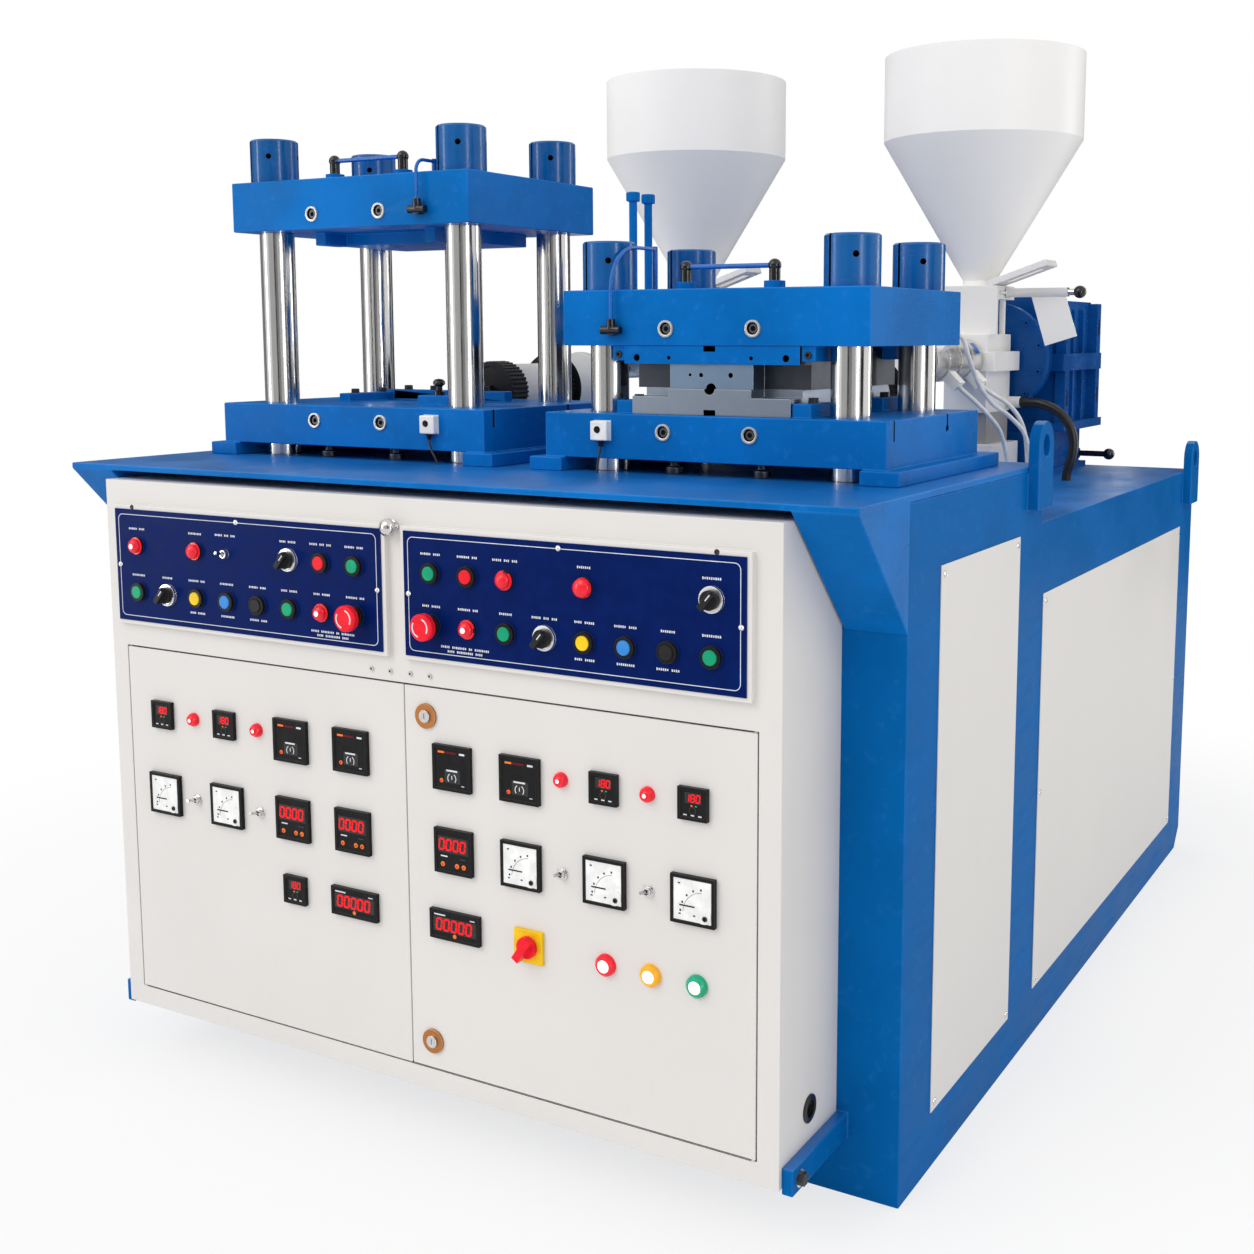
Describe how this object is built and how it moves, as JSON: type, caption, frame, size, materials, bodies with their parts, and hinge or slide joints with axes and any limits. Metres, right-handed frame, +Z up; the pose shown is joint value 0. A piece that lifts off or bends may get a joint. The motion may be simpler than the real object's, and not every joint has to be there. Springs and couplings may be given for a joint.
{
  "type": "extrusion machine",
  "caption": "Two-station plastics machine: screw extruders with hoppers feed four-pillar presses on one base with a control cabinet.",
  "frame": {"origin": "on the floor under the middle of the machine", "axes": "+X to the right seen from the control cabinet, +Y to the back, +Z up"},
  "size_m": [1.556, 2.1666, 1.9175],
  "materials": {
    "blue_paint": "gloss enamel",
    "white_paint": "satin powder coat",
    "navy_panel": "printed plate",
    "tool_steel": "ground",
    "dark_paint": "satin",
    "heater_steel": "sheet jacket",
    "gear_blue": "gloss enamel",
    "grey_paint": "satin",
    "lead_sheath": "sleeve",
    "chrome": "polished",
    "fitting_black": "moulded",
    "instrument_black": "moulded",
    "red_cap": "moulded",
    "green_cap": "moulded",
    "yellow_cap": "moulded",
    "blue_cap": "moulded",
    "black_cap": "moulded"
  },
  "bodies": {
    "machine": {"base_frame": "blue_paint", "bed_plate": "blue_paint", "side_covers": "white_paint", "cabinet_shell": "white_paint", "panel_plates": "navy_panel", "lower_platens": "blue_paint", "lower_mould": "tool_steel", "hydraulics": "dark_paint", "barrels": "heater_steel", "feed_throats": "white_paint", "left_hopper": "white_paint", "right_hopper": "white_paint", "gearboxes": "gear_blue", "barrel_stands": "grey_paint", "leads_and_hoses": "lead_sheath"},
    "left_clamp": {"left_upper_platen": "blue_paint", "left_pillars": "chrome", "left_pillar_nuts": "blue_paint", "left_platen_fittings": "fitting_black"},
    "right_clamp": {"right_upper_platen": "blue_paint", "right_pillars": "chrome", "right_pillar_nuts": "blue_paint", "right_platen_fittings": "fitting_black", "upper_mould": "tool_steel"},
    "left_door": {"left_door": "white_paint", "left_door_instruments": "instrument_black"},
    "right_door": {"right_door": "white_paint", "right_door_instruments": "instrument_black"},
    "left_screw": {"left_screw": "tool_steel"},
    "right_screw": {"right_screw": "tool_steel"},
    "left_hopper_gate": {"left_hopper_gate": "white_paint"},
    "right_hopper_gate": {"right_hopper_gate": "white_paint"},
    "left_run_button": {"left_run_button": "green_cap"},
    "left_halt_button": {"left_halt_button": "red_cap"},
    "left_start_button": {"left_start_button": "green_cap"},
    "left_yellow_button": {"left_yellow_button": "yellow_cap"},
    "left_blue_button": {"left_blue_button": "blue_cap"},
    "left_black_button": {"left_black_button": "black_cap"},
    "left_cycle_button": {"left_cycle_button": "green_cap"},
    "right_start_button": {"right_start_button": "green_cap"},
    "right_halt_button": {"right_halt_button": "red_cap"},
    "right_run_button": {"right_run_button": "green_cap"},
    "right_yellow_button": {"right_yellow_button": "yellow_cap"},
    "right_blue_button": {"right_blue_button": "blue_cap"},
    "right_black_button": {"right_black_button": "black_cap"},
    "right_cycle_button": {"right_cycle_button": "green_cap"},
    "left_emergency_stop": {"left_emergency_stop": "red_cap"},
    "right_emergency_stop": {"right_emergency_stop": "red_cap"},
    "left_upper_selector": {"left_upper_selector": "black_cap"},
    "left_lower_selector": {"left_lower_selector": "black_cap"},
    "right_upper_selector": {"right_upper_selector": "black_cap"},
    "right_lower_selector": {"right_lower_selector": "black_cap"},
    "panel_toggle": {"panel_toggle": "chrome"},
    "left_door_toggle_1": {"left_door_toggle_1": "chrome"},
    "left_door_toggle_2": {"left_door_toggle_2": "chrome"},
    "right_door_toggle_1": {"right_door_toggle_1": "chrome"},
    "right_door_toggle_2": {"right_door_toggle_2": "chrome"},
    "main_switch": {"main_switch": "red_cap"},
    "upper_lock": {"upper_lock": "chrome"},
    "lower_lock": {"lower_lock": "chrome"}
  },
  "joints": [
    {"name": "left_clamp_slide", "type": "slide", "parent": "machine", "child": "left_clamp", "axis": [0, 0, 1], "range_m": [-0.208, 0]},
    {"name": "right_clamp_slide", "type": "slide", "parent": "machine", "child": "right_clamp", "axis": [0, 0, 1], "range_m": [0, 0.208]},
    {"name": "left_door_hinge", "type": "hinge", "parent": "machine", "child": "left_door", "pos_m": [-0.6141, -1.03775, 0.45], "axis": [0, 0, -1], "range_deg": [0, 110]},
    {"name": "right_door_hinge", "type": "hinge", "parent": "machine", "child": "right_door", "pos_m": [0.6141, -1.03775, 0.45], "axis": [0, 0, 1], "range_deg": [0, 110]},
    {"name": "left_screw_turn", "type": "hinge", "parent": "machine", "child": "left_screw", "pos_m": [-0.371, 0.35825, 1.245], "axis": [0, 1, 0], "continuous": true},
    {"name": "right_screw_turn", "type": "hinge", "parent": "machine", "child": "right_screw", "pos_m": [0.371, 0.35825, 1.245], "axis": [0, 1, 0], "continuous": true},
    {"name": "left_gate_slide", "type": "slide", "parent": "machine", "child": "left_hopper_gate", "axis": [1, 0, 0], "range_m": [0, 0.075]},
    {"name": "right_gate_slide", "type": "slide", "parent": "machine", "child": "right_hopper_gate", "axis": [1, 0, 0], "range_m": [0, 0.075]},
    {"name": "left_run_button_press", "type": "slide", "parent": "machine", "child": "left_run_button", "axis": [0, 1, 0], "range_m": [0, 0.004], "stiffness_N_per_m": 400},
    {"name": "left_halt_button_press", "type": "slide", "parent": "machine", "child": "left_halt_button", "axis": [0, 1, 0], "range_m": [0, 0.004], "stiffness_N_per_m": 400},
    {"name": "left_start_button_press", "type": "slide", "parent": "machine", "child": "left_start_button", "axis": [0, 1, 0], "range_m": [0, 0.004], "stiffness_N_per_m": 400},
    {"name": "left_yellow_button_press", "type": "slide", "parent": "machine", "child": "left_yellow_button", "axis": [0, 1, 0], "range_m": [0, 0.004], "stiffness_N_per_m": 400},
    {"name": "left_blue_button_press", "type": "slide", "parent": "machine", "child": "left_blue_button", "axis": [0, 1, 0], "range_m": [0, 0.004], "stiffness_N_per_m": 400},
    {"name": "left_black_button_press", "type": "slide", "parent": "machine", "child": "left_black_button", "axis": [0, 1, 0], "range_m": [0, 0.004], "stiffness_N_per_m": 400},
    {"name": "left_cycle_button_press", "type": "slide", "parent": "machine", "child": "left_cycle_button", "axis": [0, 1, 0], "range_m": [0, 0.004], "stiffness_N_per_m": 400},
    {"name": "right_start_button_press", "type": "slide", "parent": "machine", "child": "right_start_button", "axis": [0, 1, 0], "range_m": [0, 0.004], "stiffness_N_per_m": 400},
    {"name": "right_halt_button_press", "type": "slide", "parent": "machine", "child": "right_halt_button", "axis": [0, 1, 0], "range_m": [0, 0.004], "stiffness_N_per_m": 400},
    {"name": "right_run_button_press", "type": "slide", "parent": "machine", "child": "right_run_button", "axis": [0, 1, 0], "range_m": [0, 0.004], "stiffness_N_per_m": 400},
    {"name": "right_yellow_button_press", "type": "slide", "parent": "machine", "child": "right_yellow_button", "axis": [0, 1, 0], "range_m": [0, 0.004], "stiffness_N_per_m": 400},
    {"name": "right_blue_button_press", "type": "slide", "parent": "machine", "child": "right_blue_button", "axis": [0, 1, 0], "range_m": [0, 0.004], "stiffness_N_per_m": 400},
    {"name": "right_black_button_press", "type": "slide", "parent": "machine", "child": "right_black_button", "axis": [0, 1, 0], "range_m": [0, 0.004], "stiffness_N_per_m": 400},
    {"name": "right_cycle_button_press", "type": "slide", "parent": "machine", "child": "right_cycle_button", "axis": [0, 1, 0], "range_m": [0, 0.004], "stiffness_N_per_m": 400},
    {"name": "left_emergency_stop_press", "type": "slide", "parent": "machine", "child": "left_emergency_stop", "axis": [0, 1, 0], "range_m": [0, 0.005], "stiffness_N_per_m": 600},
    {"name": "right_emergency_stop_press", "type": "slide", "parent": "machine", "child": "right_emergency_stop", "axis": [0, 1, 0], "range_m": [0, 0.005], "stiffness_N_per_m": 600},
    {"name": "left_upper_selector_turn", "type": "hinge", "parent": "machine", "child": "left_upper_selector", "pos_m": [-0.2219, -1.05375, 0.94], "axis": [0, -1, 0], "range_deg": [0, 80]},
    {"name": "left_lower_selector_turn", "type": "hinge", "parent": "machine", "child": "left_lower_selector", "pos_m": [-0.4995, -1.05375, 0.86], "axis": [0, -1, 0], "range_deg": [0, 80]},
    {"name": "right_upper_selector_turn", "type": "hinge", "parent": "machine", "child": "right_upper_selector", "pos_m": [0.5539, -1.05375, 0.94], "axis": [0, -1, 0], "range_deg": [0, 80]},
    {"name": "right_lower_selector_turn", "type": "hinge", "parent": "machine", "child": "right_lower_selector", "pos_m": [0.2763, -1.05375, 0.86], "axis": [0, -1, 0], "range_deg": [0, 80]},
    {"name": "panel_toggle_swing", "type": "hinge", "parent": "machine", "child": "panel_toggle", "pos_m": [-0.3607, -1.05725, 0.94], "axis": [1, 0, 0], "range_deg": [0, 24]},
    {"name": "left_door_toggle_1_swing", "type": "hinge", "parent": "left_door", "child": "left_door_toggle_1", "pos_m": [-0.4626, -1.04525, 0.503], "axis": [1, 0, 0], "range_deg": [0, 24]},
    {"name": "left_door_toggle_2_swing", "type": "hinge", "parent": "left_door", "child": "left_door_toggle_2", "pos_m": [-0.3156, -1.04525, 0.503], "axis": [1, 0, 0], "range_deg": [0, 24]},
    {"name": "right_door_toggle_1_swing", "type": "hinge", "parent": "right_door", "child": "right_door_toggle_1", "pos_m": [0.2946, -1.04525, 0.503], "axis": [1, 0, 0], "range_deg": [0, 24]},
    {"name": "right_door_toggle_2_swing", "type": "hinge", "parent": "right_door", "child": "right_door_toggle_2", "pos_m": [0.4436, -1.04525, 0.503], "axis": [1, 0, 0], "range_deg": [0, 24]},
    {"name": "main_switch_turn", "type": "hinge", "parent": "right_door", "child": "main_switch", "pos_m": [0.2336, -1.04175, 0.379], "axis": [0, -1, 0], "range_deg": [0, 90]},
    {"name": "upper_lock_turn", "type": "hinge", "parent": "right_door", "child": "upper_lock", "pos_m": [0.0436, -1.04175, 0.713], "axis": [0, -1, 0], "range_deg": [0, 90]},
    {"name": "lower_lock_turn", "type": "hinge", "parent": "right_door", "child": "lower_lock", "pos_m": [0.0436, -1.04175, 0.183], "axis": [0, -1, 0], "range_deg": [0, 90]}
  ]
}
